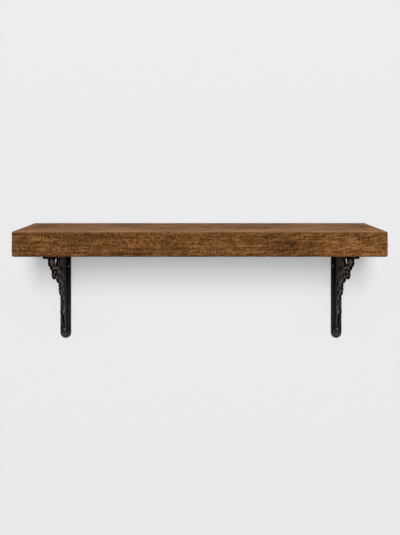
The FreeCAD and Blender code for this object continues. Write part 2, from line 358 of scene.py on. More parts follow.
class Finish:
    """A material's node tree, grown one node at a time."""

    # Share of a dot's radius over which it keeps its full strength.
    DOT_CORE = 0.45

    def __init__(self, name: str) -> None:
        """Start an empty material.

        Args:
            name: Name of the material.
        """
        self.material = bpy.data.materials.new(name)
        self.material.use_nodes = True
        self.tree = self.material.node_tree
        self.tree.nodes.clear()
        self.output = self.tree.nodes.new("ShaderNodeOutputMaterial")
        self.places = self.tree.nodes.new("ShaderNodeTexCoord").outputs["Object"]

    def node(self, kind: str, inputs: dict, **settings: object) -> bpy.types.Node:
        """Add a node.

        Args:
            kind: Node type.
            inputs: Sockets or plain values by input name or number.
            settings: Properties of the node.

        Returns:
            The new node.
        """
        made = self.tree.nodes.new(kind)
        for key, value in settings.items():
            setattr(made, key, value)
        for key, value in inputs.items():
            if isinstance(value, Socket):
                self.tree.links.new(value, made.inputs[key])
            else:
                made.inputs[key].default_value = value
        return made

    def math(self, operation: str, *values: object) -> Socket:
        """Result of a maths node on one to three sockets or numbers."""
        return self.node("ShaderNodeMath", dict(enumerate(values)), operation=operation).outputs[0]

    def times(self, first: object, second: object) -> Socket:
        """Product of two sockets or numbers."""
        return self.math("MULTIPLY", first, second)

    def ease(self, value: Socket, low: float, high: float, start: float = 0, stop: float = 1) -> Socket:
        """Value carried smoothly from start to stop as it goes from low to high."""
        inputs = {"Value": value, "From Min": low, "From Max": high, "To Min": start, "To Max": stop}
        return self.node("ShaderNodeMapRange", inputs, interpolation_type="SMOOTHSTEP").outputs[0]

    def stretch(self, cell: Triple, tilt: float = 0, shift: Triple = (0, 0, 0)) -> Socket:
        """Object coordinates counted in cells.

        Args:
            cell: Size of a cell along X, Y and Z, in metres.
            tilt: Turn about Y, in radians, before the cells are counted.
            shift: Start of the count, in cells.

        Returns:
            The stretched coordinates.
        """
        turn = {"Vector": self.places, "Rotation": (0, tilt, 0)}
        turned = self.node("ShaderNodeMapping", turn, vector_type="POINT").outputs[0]
        count = {"Vector": turned, "Scale": tuple(1 / size for size in cell), "Location": shift}
        return self.node("ShaderNodeMapping", count, vector_type="POINT").outputs[0]

    def noise(self, grain: Grain) -> Socket:
        """Noise from 0 to 1.

        Args:
            grain: Size and make of the noise.

        Returns:
            The noise.
        """
        inputs = {
            "Vector": self.stretch(grain.cell, grain.tilt), "Scale": 1.0, "Detail": grain.detail,
            "Roughness": grain.roughness, "Distortion": grain.twist,
        }
        return self.node("ShaderNodeTexNoise", inputs).outputs[0]

    def dots(self, dots: Dots) -> Socket:
        """Scattered dots, from 0 between them to 1 in their middles.

        Args:
            dots: Size and number of the dots.

        Returns:
            The value.
        """
        cells = self.stretch(dots.cell, dots.tilt, dots.shift)
        parts = self.node("ShaderNodeSeparateXYZ", {0: cells}).outputs
        flat = self.node("ShaderNodeCombineXYZ", {0: parts[0], 1: parts[2]}).outputs[0]
        made = self.node("ShaderNodeTexVoronoi", {"Vector": flat, "Scale": 1.0}, voronoi_dimensions="2D")
        chance = self.node("ShaderNodeSeparateColor", {0: made.outputs["Color"]}).outputs[0]
        inside = self.ease(made.outputs["Distance"], self.DOT_CORE * dots.radius, dots.radius, 1, 0)
        return self.times(inside, self.math("LESS_THAN", chance, dots.share))

    def mix(self, amount: object, first: object, second: object) -> Socket:
        """Colour between two sockets or colours, by an amount from 0 to 1."""
        ends = [end if isinstance(end, Socket) else (*end, 1) for end in (first, second)]
        return self.node("ShaderNodeMix", {0: amount, 6: ends[0], 7: ends[1]}, data_type="RGBA").outputs[2]

    def ramp(self, value: Socket, stops: Sequence[float], colours: Sequence[Colour]) -> Socket:
        """Colour read off a ramp.

        Args:
            value: Place along the ramp.
            stops: Position of each colour, in order.
            colours: The colours.

        Returns:
            The colour.
        """
        made = self.node("ShaderNodeValToRGB", {"Fac": value})
        elements = made.color_ramp.elements
        while len(elements) < len(stops):
            elements.new(1)
        for element, position, colour in zip(elements, stops, colours):
            element.position = position
            element.color = (*colour, 1)
        return made.outputs[0]

    def read(self, name: str) -> Socket:
        """Number painted on the piece's vertices."""
        return self.node("ShaderNodeAttribute", {}, attribute_name=name).outputs["Fac"]

    def bump(self, height: Socket, depth: float, strength: float = 1) -> Socket:
        """Normal tilted by a height, whose full range is a depth in metres."""
        inputs = {"Height": height, "Distance": depth, "Strength": strength}
        return self.node("ShaderNodeBump", inputs).outputs[0]

    def surface(self, inputs: dict) -> Material:
        """Finish the tree with one principled surface.

        Args:
            inputs: Sockets or plain values by input name.

        Returns:
            The material.
        """
        shader = self.node("ShaderNodeBsdfPrincipled", inputs)
        self.tree.links.new(shader.outputs[0], self.output.inputs["Surface"])
        return self.material


@dataclass(frozen=True)
class TimberFinish:
    """Dark-stained, waxed softwood, paler on top by its own tone and by painted sheen, and lighter along the
    top front arris.

    The left of the face is speckled and the right has slanted dashes. A tone's weights are for the streaks,
    mottle, patches, rings and grain, and its stops are where the dark, middle and light colours stand.
    """

    dark: Colour = (0.048, 0.0195, 0.0060)
    middle: Colour = (0.146, 0.0600, 0.0175)
    light: Colour = (0.310, 0.138, 0.044)
    # Top colours are paler and greyer than the face's: partly the top's own tone, partly painted sheen, as the
    # top has no gloss.
    top_colours: tuple[Colour, ...] = ((0.170, 0.086, 0.043), (0.290, 0.152, 0.077), (0.400, 0.222, 0.120))
    hole: Colour = (0.030, 0.014, 0.006)
    rubbed: Colour = (0.475, 0.265, 0.136)
    lip: Colour = (0.42, 0.192, 0.068)

    streak: Grain = Grain((0.15, 0.006, 0.006), 5, 0.62, 0.4)
    mottle: Grain = Grain((0.032, 0.02, 0.014), 3, 0.6, 0.5)
    patch: Grain = Grain((0.16, 0.09, 0.06))
    speck: Grain = Grain((0.0042, 0.004, 0.0026), 3, 0.65, 0.1)
    dash: Grain = Grain((0.022, 0.004, 0.0034), 2, 0.55, 0.1, math.radians(12))
    fine: Grain = Grain((0.006, 0.0007, 0.0007), 3, 0.6)
    fleck: Dots = Dots((0.0072, 1, 0.0060), 0.36, 0.42)
    pore: Dots = Dots((0.0115, 1, 0.0046), 0.33, 0.55, math.radians(12))
    glint: Dots = Dots((0.0088, 1, 0.0054), 0.4, 0.5, math.radians(6), (3.3, 0, 7.7))

    # Rings about a heart line, given by its Y and Z.
    heart: Pair = (-0.085, -0.17)
    ring_width: float = 5.2 * MM
    wander: Grain = Grain((0.3, 0.05, 0.05), 3)
    wander_rings: float = 7.0
    end_rings: float = 0.35

    # Where along X specks give way to dashes. A row of four is a span and the values at its start and stop.
    dash_span: Pair = (-0.06, 0.22)
    dash_share: float = 0.75
    drift: tuple[Row, ...] = ((0.12, 0.40, -0.01, 0.08), (-0.46, -0.39, -0.06, 0))

    face_weights: Row = (0.75, 0.6, 0.4, 0.1, 1.1)
    face_stops: Triple = (0.24, 0.5, 0.72)
    top_weights: Row = (2.0, 1.3, 0.9, 0, 0.8)
    top_stops: Triple = (0.24, 0.5, 0.78)
    rubbed_tone: Row = (0.2, 0.8, 0.3, 1)
    glint_strength: float = 0.35
    hole_strength: float = 0.9
    lip_strength: float = 0.85
    shade_strength: float = 0.7

    # The relief's weights are for the streaks, fine lines, holes and rings. Roughness follows the tone.
    relief_weights: Row = (0.5, 0.5, -0.9, 0.25)
    relief: float = 0.5 * MM
    relief_strength: float = 0.6
    roughness: Row = (0.2, 0.8, 0.66, 0.50)
    gloss: float = 0.06

    def material(self) -> Material:
        """Stained face and a paler top with painted sheen, with open pores, lighter edges and painted edge
        shade laid over them.

        Returns:
            The material.
        """
        tree = Finish("stained_timber")
        along = tree.node("ShaderNodeSeparateXYZ", {0: tree.places}).outputs[0]
        slanted = tree.ease(tree.ease(along, *self.dash_span), 0, 1)
        top, face = tree.read("top"), tree.read("face")
        streak, rings = tree.noise(self.streak), self.rings(tree)
        speck = tree.noise(self.speck)
        to_dash = tree.math("SUBTRACT", tree.noise(self.dash), speck)
        grain = tree.math("MULTIPLY_ADD", to_dash, tree.times(slanted, self.dash_share), speck)
        patterns = (streak, tree.noise(self.mottle), tree.noise(self.patch), rings, grain)

        tone = self.blend(tree, patterns, self.face_weights)
        for span in self.drift:
            tone = tree.math("ADD", tone, tree.ease(along, *span))
        at_end = tree.times(tree.read("end"), self.end_rings)
        end_tone = tree.math("MULTIPLY_ADD", tree.math("SUBTRACT", rings, 0.5), at_end, tone)
        colour = tree.ramp(end_tone, self.face_stops, (self.dark, self.middle, self.light))
        top_tone = self.blend(tree, patterns, self.top_weights)

        flecks = tree.times(tree.dots(self.fleck), tree.math("SUBTRACT", 1, slanted))
        pores = tree.times(tree.dots(self.pore), slanted)
        holes = tree.times(tree.math("MAXIMUM", flecks, pores), face)
        glints = tree.times(tree.dots(self.glint), face)
        layers = (
            (tree.times(glints, self.glint_strength), self.light),
            (tree.times(holes, self.hole_strength), self.hole),
            (top, tree.ramp(top_tone, self.top_stops, self.top_colours)),
            (tree.times(tree.read("rubbed"), tree.ease(top_tone, *self.rubbed_tone)), self.rubbed),
            (tree.times(tree.read("lip"), self.lip_strength), self.lip),
            (tree.times(tree.read("shaded"), self.shade_strength), self.dark),
        )
        for amount, over in layers:
            colour = tree.mix(amount, colour, over)

        height = self.blend(tree, (streak, tree.noise(self.fine), holes, rings), self.relief_weights)
        # The top gets no gloss: its sheen is painted into its paler colour.
        return tree.surface({
            "Base Color": colour,
            "Roughness": tree.ease(tone, *self.roughness),
            "Specular IOR Level": tree.ease(top, 0, 1, self.gloss, 0),
            "Normal": tree.bump(height, self.relief, self.relief_strength),
        })

    def rings(self, tree: Finish) -> Socket:
        """Year rings, from 0 just after each dark line to 1 just before the next.

        Args:
            tree: Tree that the nodes go into.

        Returns:
            The ring value.
        """
        across = tree.node("ShaderNodeVectorMath", {0: tree.places, 1: (0, 1, 1)}, operation="MULTIPLY")
        ends = {0: across.outputs[0], 1: (0, *self.heart)}
        radius = tree.node("ShaderNodeVectorMath", ends, operation="DISTANCE").outputs["Value"]
        count = tree.math("DIVIDE", radius, self.ring_width)
        wandering = tree.math("MULTIPLY_ADD", tree.noise(self.wander), self.wander_rings, count)
        return tree.math("FRACT", wandering)

    def blend(self, tree: Finish, patterns: Sequence[Socket], weights: Sequence[float]) -> Socket:
        """Middle tone moved up and down by several patterns.

        Args:
            tree: Tree that the nodes go into.
            patterns: Patterns from 0 to 1.
            weights: Weight of each pattern.

        Returns:
            The sum, about one half.
        """
        total = 0.5
        for value, weight in zip(patterns, weights):
            total = tree.math("ADD", tree.times(tree.math("SUBTRACT", value, 0.5), weight), total)
        return total


@dataclass(frozen=True)
class IronFinish:
    """Black-waxed cast iron, lighter where worn by rubbing and painted with highlights, dark with wax and
    painted shade in its hollows.
    """

    name: str = "waxed_iron"
    hollow: Colour = (0.0022, 0.0019, 0.0016)
    dim: Colour = (0.00504, 0.00402, 0.0033)
    body: Colour = (0.0084, 0.0067, 0.0055)
    proud: Colour = (0.200, 0.156, 0.134)
    tint: Colour = (1.0, 0.88, 0.80)
    roughness: Pair = (0.48, 0.65)
    gloss: float = 0.02
    proud_gloss: float = 0.06
    grit: float = 0.35 * MM
    grit_strength: float = 0.7
    blotch: Grain = Grain((0.02, 0.02, 0.02), 3, 0.6)
    sand: Grain = Grain((0.0016, 0.0016, 0.0016), 3, 0.6)
    sand_weight: float = 0.6
    pit: Grain = Grain((0.005, 0.005, 0.005))
    pit_weight: float = 0.5

    def material(self) -> Material:
        """Blotched dark metal with a sand-cast skin, lighter and glossier where it is proud and painted with
        highlights.

        Returns:
            The material.
        """
        tree = Finish(self.name)
        sand = tree.noise(self.sand)
        pits = tree.ease(tree.noise(self.pit), 0.56, 0.7)
        proud, hollow = tree.read("proud"), tree.read("hollow")
        colour = tree.mix(tree.ease(tree.noise(self.blotch), 0.3, 0.7), self.dim, self.body)
        colour = tree.mix(proud, colour, self.proud)
        colour = tree.mix(hollow, colour, self.hollow)
        shine = tree.math("MULTIPLY_ADD", proud, self.proud_gloss, self.gloss)
        height = tree.math("SUBTRACT", tree.times(sand, self.sand_weight), tree.times(pits, self.pit_weight))
        return tree.surface({
            "Base Color": colour,
            "Specular IOR Level": tree.times(shine, tree.ease(hollow, 0, 0.8, 1, 0)),
            "Specular Tint": (*self.tint, 1),
            "Roughness": tree.ease(sand, 0.2, 0.8, *self.roughness),
            "Normal": tree.bump(height, self.grit, self.grit_strength),
        })


@dataclass(frozen=True)
class WallPaint:
    """Matt pale wall, clear from behind so that the back of the shelf can be seen."""

    colour: Colour = (0.96, 0.96, 0.96)
    glow: float = 0.232

    def material(self) -> Material:
        """Diffuse front that also glows a little for the camera and in reflections, and a clear back.

        Returns:
            The material.
        """
        tree = Finish("pale_wall")
        coat = tree.node("ShaderNodeBsdfDiffuse", {"Color": (*self.colour, 1)})
        glow = tree.node("ShaderNodeEmission", {"Strength": tree.times(seen_rays(tree.tree), self.glow)})
        front = tree.node("ShaderNodeAddShader", {0: coat.outputs[0], 1: glow.outputs[0]})
        clear = tree.node("ShaderNodeBsdfTransparent", {})
        behind = tree.node("ShaderNodeNewGeometry", {}).outputs["Backfacing"]
        both = tree.node("ShaderNodeMixShader", {0: behind, 1: front.outputs[0], 2: clear.outputs[0]})
        tree.tree.links.new(both.outputs[0], tree.output.inputs["Surface"])
        return tree.material


# The studio


@dataclass(frozen=True)
class Softbox:
    """Far oval lamp, given by where it stands and how large it looks from the shelf, in degrees."""

    name: str
    azimuth: float
    elevation: float
    half_width: float
    half_height: float
    level: float
    lights_wall: bool = False
    mirrored: bool = True
    distance: float = 25.0

    def add(self, pieces: bpy.types.Collection) -> None:
        """Hang the lamp; at level 1 a white face turned towards it would look white.

        Args:
            pieces: All that the lamp lights, unless it lights the wall too.
        """
        turn, rise = math.radians(self.azimuth), math.radians(self.elevation)
        away = Vector((math.sin(turn) * math.cos(rise), -math.cos(turn) * math.cos(rise), math.sin(rise)))
        lamp = bpy.data.lights.new(self.name, "AREA")
        lamp.shape = "ELLIPSE"
        lamp.size = 2 * self.distance * math.tan(math.radians(self.half_width))
        lamp.size_y = 2 * self.distance * math.tan(math.radians(self.half_height))
        lamp.energy = self.level * (math.pi * self.distance) ** 2
        light = add_object(self.name, lamp)
        light.location = away * self.distance
        light.rotation_euler = away.to_track_quat("Z", "Y").to_euler()
        light.visible_camera = False
        light.visible_glossy = self.mirrored
        if not self.lights_wall:
            light.light_linking.receiver_collection = pieces


@dataclass
class Studio:
    """Pale wall, soft lamps round the shelf and the camera of the photograph."""

    wall_gap: float = 0.6 * MM
    wall_size: float = 30.0
    fill: float = 0.1
    pale: float = 0.83
    camera_place: Triple = (-0.0035, -2.122, 0.2873)
    frame_width: int = 400
    frame_height: int = 535
    focal_pixels: float = 769.0
    vanishing_point: Pair = (199.7, 161.7)
    sensor: float = 36.0

    LAMPS = (
        Softbox("front_key", 0, 15.8, 7, 15.5, 0.57, lights_wall=True, mirrored=False),
        Softbox("top_softbox", 0, 72, 22, 16, 0.5),
        Softbox("left_softbox", -74, -9, 14, 18, 0.40),
        Softbox("right_softbox", 74, -9, 14, 18, 0.40),
        Softbox("rear_softbox", 180, -8, 20, 20, 0.5),
    )

    def build(self, pieces: Sequence[Thing]) -> None:
        """Make the wall, the lamps, the world and the camera.

        Args:
            pieces: Every piece of the shelf.
        """
        self.add_wall()
        lit = bpy.data.collections.new("shelf_pieces")
        for piece in pieces:
            lit.objects.link(piece)
        for softbox in self.LAMPS:
            softbox.add(lit)
        self.set_world()
        self.add_camera()
        bpy.context.scene.view_settings.view_transform = "Standard"

    def add_wall(self) -> None:
        """Flat square just behind the wall face, which takes shadows but casts none."""
        half = self.wall_size / 2
        corners = np.array([(-1, 0, -1), (1, 0, -1), (1, 0, 1), (-1, 0, 1)]) * half
        corners[:, 1] = self.wall_gap
        mesh = bpy.data.meshes.new("wall")
        mesh.from_pydata(corners.tolist(), [], [(0, 1, 2, 3)])
        mesh.materials.append(WallPaint().material())
        wall = add_object("wall", mesh)
        wall.visible_shadow = False
        wall.visible_diffuse = False

    def set_world(self) -> None:
        """Even fill light, seen as the wall's own pale tone by the camera and in reflections."""
        world = bpy.data.worlds.new("pale_room")
        world.use_nodes = True
        bpy.context.scene.world = world
        tree = world.node_tree
        background = next(node for node in tree.nodes if node.type == "BACKGROUND")
        level = tree.nodes.new("ShaderNodeMapRange")
        level.inputs["To Min"].default_value = self.fill
        level.inputs["To Max"].default_value = self.pale
        tree.links.new(seen_rays(tree), level.inputs["Value"])
        background.inputs["Color"].default_value = (1, 1, 1, 1)
        tree.links.new(level.outputs[0], background.inputs["Strength"])

    def add_camera(self) -> None:
        """Level camera; its shift puts the vanishing point where the photograph has it."""
        lens = bpy.data.cameras.new("photo_camera")
        lens.sensor_fit = "VERTICAL"
        lens.sensor_width = self.sensor
        lens.sensor_height = self.sensor
        lens.lens = self.focal_pixels / self.frame_height * self.sensor
        lens.shift_x = (self.frame_width / 2 - self.vanishing_point[0]) / self.frame_height
        lens.shift_y = (self.vanishing_point[1] - self.frame_height / 2) / self.frame_height
        camera = add_object("photo_camera", lens)
        camera.location = self.camera_place
        camera.rotation_euler = (math.pi / 2, 0, 0)
        bpy.context.scene.camera = camera


# The board


@dataclass
class ShelfBoard:
    """Thick board with uneven, chipped arrises and a hand-worn surface."""

    arris: float = 0.8 * MM
    round_steps: int = 6
    step_along: float = 2.45 * MM
    step_front: float = 2.2 * MM
    step_flat: float = 3.0 * MM
    step_back: float = 5.0 * MM
    seed: int = 11

    # Cells of the wear's noises, and its depths and reaches.
    hollow_cell: Triple = (0.12, 0.08, 0.05)
    grain_cell: Triple = (0.09, 0.0075, 0.0075)
    ragged_cell: Triple = (0.035, 0.035, 0.035)
    unevenness: float = 0.3 * MM
    arris_loss: float = 1.6 * MM
    arris_reach: float = 5.0 * MM
    ragged_start: float = 0.56
    corner_wear: float = 1.2 * MM
    corner_reach: float = 3.2 * MM
    wall_hold: float = 0.9
    chip_count: int = 46
    chip_length: Pair = (4 * MM, 16 * MM)
    chip_width: Pair = (2.5 * MM, 6 * MM)
    chip_depth: Pair = (0.2 * MM, 1.2 * MM)
    upper_chips: float = 0.65
    lower_chip_depth: float = 0.6

    # How far paint spreads back from the front, from the arrises, from lip and foot, and from the ends.
    front_paint: float = 58 * MM
    arris_paint: float = 5.5 * MM
    lip_paint: float = 2.4 * MM
    end_paint: float = 3.0 * MM

    def build(self, material: Material) -> Thing:
        """Make the board and dress it.

        Args:
            material: Finish of the timber.

        Returns:
            The piece.
        """
        low, high = np.array(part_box("shelf_board"))
        self.middle = (low + high) / 2
        self.half = (high - low) / 2
        vertices, faces = self.rounded_box()
        mesh = skin("shelf_board_worn", vertices + self.middle, faces)
        self.wear(mesh)
        piece = place_piece(mesh, "worn_shelf_board", "shelf_board", material)
        # The wall stays neutral: no warm light bounces onto it from the board.
        piece.visible_diffuse = False
        return piece

    def rounded_box(self) -> tuple[Array, Array]:
        """Core box plus a ball of the arris radius, as a profile carried along X.

        A point is the core rectangle's point plus the ball radius times the surface direction. Along X
        the direction turns from the end's to the profile's through the end arris, and beyond it the core
        rectangle shrinks to a line, which closes the end.

        Returns:
            Points about the board's middle, and faces.
        """
        core = self.half - self.arris
        corner, direction = self.profile(core)
        quarter = np.linspace(0, math.pi / 2, self.round_steps + 1)
        shrink = np.linspace(core[2], 0, int(core[2] / self.step_flat), endpoint=False)
        inner = np.linspace(-core[0], core[0], int(2 * core[0] / self.step_along))
        end_turn = np.pad(quarter, (len(shrink), 0)) - math.pi / 2
        end = np.full(len(end_turn), core[0])
        along = np.concatenate([-end, inner[1:-1], end])
        turn = np.concatenate([end_turn, np.zeros(len(inner) - 2), -end_turn[::-1]])
        inset = np.concatenate([shrink, np.zeros(len(along) - 2 * len(shrink)), shrink[::-1]])
        reach = np.sign(corner)[None] * np.maximum(np.abs(corner)[None] - inset[:, None, None], 0)
        across = reach + self.arris * np.cos(turn)[:, None, None] * direction[None]
        length = np.broadcast_to((along + self.arris * np.sin(turn))[:, None, None], across.shape[:2] + (1,))
        points = np.concatenate([length, across], axis=2)
        return points.reshape(-1, 3), grid_faces(len(along), len(corner))

    def profile(self, core: Array) -> tuple[Array, Array]:
        """Core rectangle's points and surface directions, round the front, top, back and underside.

        The top and the underside have the same steps, so that they meet point for point on the line that
        closes each end.

        Args:
            core: Half sizes of the core box.

        Returns:
            Points and directions in Y and Z, one row each.
        """
        sides = (
            ((-1, -1), (-1, 1), (-1, 0), self.step_front),
            ((-1, 1), (1, 1), (0, 1), self.step_flat),
            ((1, 1), (1, -1), (1, 0), self.step_back),
            ((1, -1), (-1, -1), (0, -1), self.step_flat),
        )
        quarter = np.linspace(0, math.pi / 2, self.round_steps + 1)[1:-1, None]
        points, directions = [], []
        for start, stop, normal, step in sides:
            ends = np.array([start, stop]) * core[1:]
            count = max(int(np.abs(ends[1] - ends[0]).max() / step), 2)
            share = np.linspace(0, 1, count + 1)[:, None]
            points.append(ends[0] + share * (ends[1] - ends[0]))
            directions.append(np.tile(normal, (count + 1, 1)))
            following = np.array([normal[1], -normal[0]])
            points.append(np.repeat(ends[1:], len(quarter), axis=0))
            directions.append(np.cos(quarter) * np.array(normal) + np.sin(quarter) * following)
        return np.concatenate(points), np.concatenate(directions)

    def wear(self, mesh: Mesh) -> None:
        """Press the surface inwards, then paint lighter bands at the front and the arrises, and painted shade
        at the ends and the foot.

        The depth is the sum of broad hollows and raised grain, except underneath, of the loss along ragged
        arrises, of rounded end corners and of chips. It fades towards the wall.

        Args:
            mesh: The rounded board.
        """
        points, normals = points_of(mesh), normals_of(mesh)
        inset = self.half - np.abs(points - self.middle)
        from_arris = np.sort(inset, axis=1)[:, 1]
        hollows = layered_noise(points, self.hollow_cell, self.seed)
        grain = layered_noise(points, self.grain_cell, self.seed + 10, 2)
        ragged = layered_noise(points, self.ragged_cell, self.seed + 20)
        up, along = np.clip(normals[:, 2], 0, 1), np.abs(normals[:, 0])
        under, forward = np.clip(-normals[:, 2], 0, 1), np.clip(-normals[:, 1], 0, 1)

        depth = self.unevenness * (hollows + grain - 1) * (1 - under)
        lost = np.clip(ragged - self.ragged_start, 0, 1)
        depth += self.arris_loss * bell(from_arris, self.arris_reach) * lost + self.chips(points)
        depth += self.corner_wear * bell(np.hypot(inset[:, 0], inset[:, 2]), self.corner_reach)
        behind = fade(points[:, 1], self.middle[1], self.middle[1] + self.half[1]) ** 8
        depth *= 1 - self.wall_hold * behind
        move_points(mesh, points - normals * depth[:, None])

        low, high = self.middle - self.half, self.middle + self.half
        # The top lightens towards the front and near the arrises, and a lip line runs along the top front
        # arris.
        front_band = 1.2 * bell(points[:, 1] - low[1], self.front_paint) * up * (0.7 + 0.6 * hollows)
        arris_band = bell(from_arris, self.arris_paint) * np.clip(1.6 * up, 0, 1) * (0.5 + 0.7 * ragged)
        lip_line = bell(high[2] - points[:, 2], self.lip_paint) * np.clip(1.5 * forward, 0, 1)
        # Painted shade: dark lines along the foot of the front and along the end arrises.
        foot_line = bell(points[:, 2] - low[2], self.lip_paint) * np.clip(2 * forward, 0, 1)
        end_line = bell(from_arris, self.end_paint) * np.clip(along - up, 0, 1)
        paint(mesh, "rubbed", np.maximum(front_band, arris_band))
        paint(mesh, "lip", lip_line * (0.3 + 1.2 * ragged))
        paint(mesh, "shaded", np.maximum(end_line, foot_line))
        for name, turned in (("top", up), ("end", along), ("face", np.abs(normals[:, 1]))):
            paint(mesh, name, 2 * turned - 0.6)

    def chips(self, points: Array) -> Array:
        """Depth of small knocks along both arrises of the front, each a bell-shaped dent.

        Args:
            points: Surface points.

        Returns:
            Depth at each point, in metres.
        """
        draw = np.random.default_rng(self.seed)
        depth = np.zeros(len(points))
        for _ in range(self.chip_count):
            upper = draw.random() < self.upper_chips
            arris = np.array([draw.uniform(-1, 1), -1, 1 if upper else -1])
            centre = self.middle + self.half * arris
            reach = [draw.uniform(*span) for span in (self.chip_length, self.chip_width, self.chip_width)]
            spread = np.sum(((points - centre) / reach) ** 2, axis=1)
            share = 1 if upper else self.lower_chip_depth
            depth += share * draw.uniform(*self.chip_depth) * np.exp(-spread)
        return depth


# The brackets


@dataclass(frozen=True)
class Finger:
    """One finger of a leaf lobe: a tapered round bar along a bent line, standing proud of both faces."""

    root: Pair
    bend: Pair
    tip: Pair
    root_radius: float
    tip_radius: float
    half_thickness: float
    root_thickness: float = 0.55

    def tube(self, stations: int = 18, sides: int = 16) -> tuple[Array, Array]:
        """Ellipse carried along a quadratic curve, with its ends closed by half balls.

        Args:
            stations: Points along the curve.
            sides: Points round the ellipse.

        Returns:
            Points as side offset, reach and drop in millimetres, and faces.
        """
        share = (1 - np.cos(np.linspace(0, math.pi, stations))) / 2
        lines = np.array([self.root, self.bend, self.tip], float)
        weights = np.stack([(1 - share) ** 2, 2 * share * (1 - share), share**2], -1)
        centre = weights @ lines
        pull = np.stack([2 * (share - 1), 2 - 4 * share, 2 * share], -1) @ lines
        along = pull / np.linalg.norm(pull, axis=1, keepdims=True)
        normal = np.stack([-along[:, 1], along[:, 0]], -1)
        length = np.concatenate([[0], np.cumsum(np.linalg.norm(np.diff(centre, axis=0), axis=1))])
        radius = self.root_radius + (self.tip_radius - self.root_radius) * share
        inside = np.minimum(length / self.root_radius, (length[-1] - length) / self.tip_radius)
        cap = np.sqrt(1 - (1 - np.clip(inside, 0, 1)) ** 2)
        angle = np.linspace(0, 2 * math.pi, sides, endpoint=False)
        sideways = normal[:, None] * (radius * cap)[:, None, None]
        plane = centre[:, None] + sideways * np.cos(angle)[None, :, None]
        thickness = self.half_thickness * np.minimum(1, self.root_thickness + share)
        offset = (thickness * cap)[:, None] * np.sin(angle)[None, :]
        points = np.concatenate([offset[:, :, None], plane], axis=2)
        return points.reshape(-1, 3), grid_faces(stations, sides)


@dataclass(frozen=True)
class Mark:
    """Stroke of a tool on the leaf, between places given as side offset, reach and drop in millimetres."""

    start: Triple
    stop: Triple
    radius: float
    strength: float = 1.0


def stroke(offset: float, reach: float, top: float, foot: float, radius: float, strength: float = 1) -> Mark:
    """Mark that runs straight down the leaf, from one drop to another."""
    return Mark((offset, reach, top), (offset, reach, foot), radius, strength)


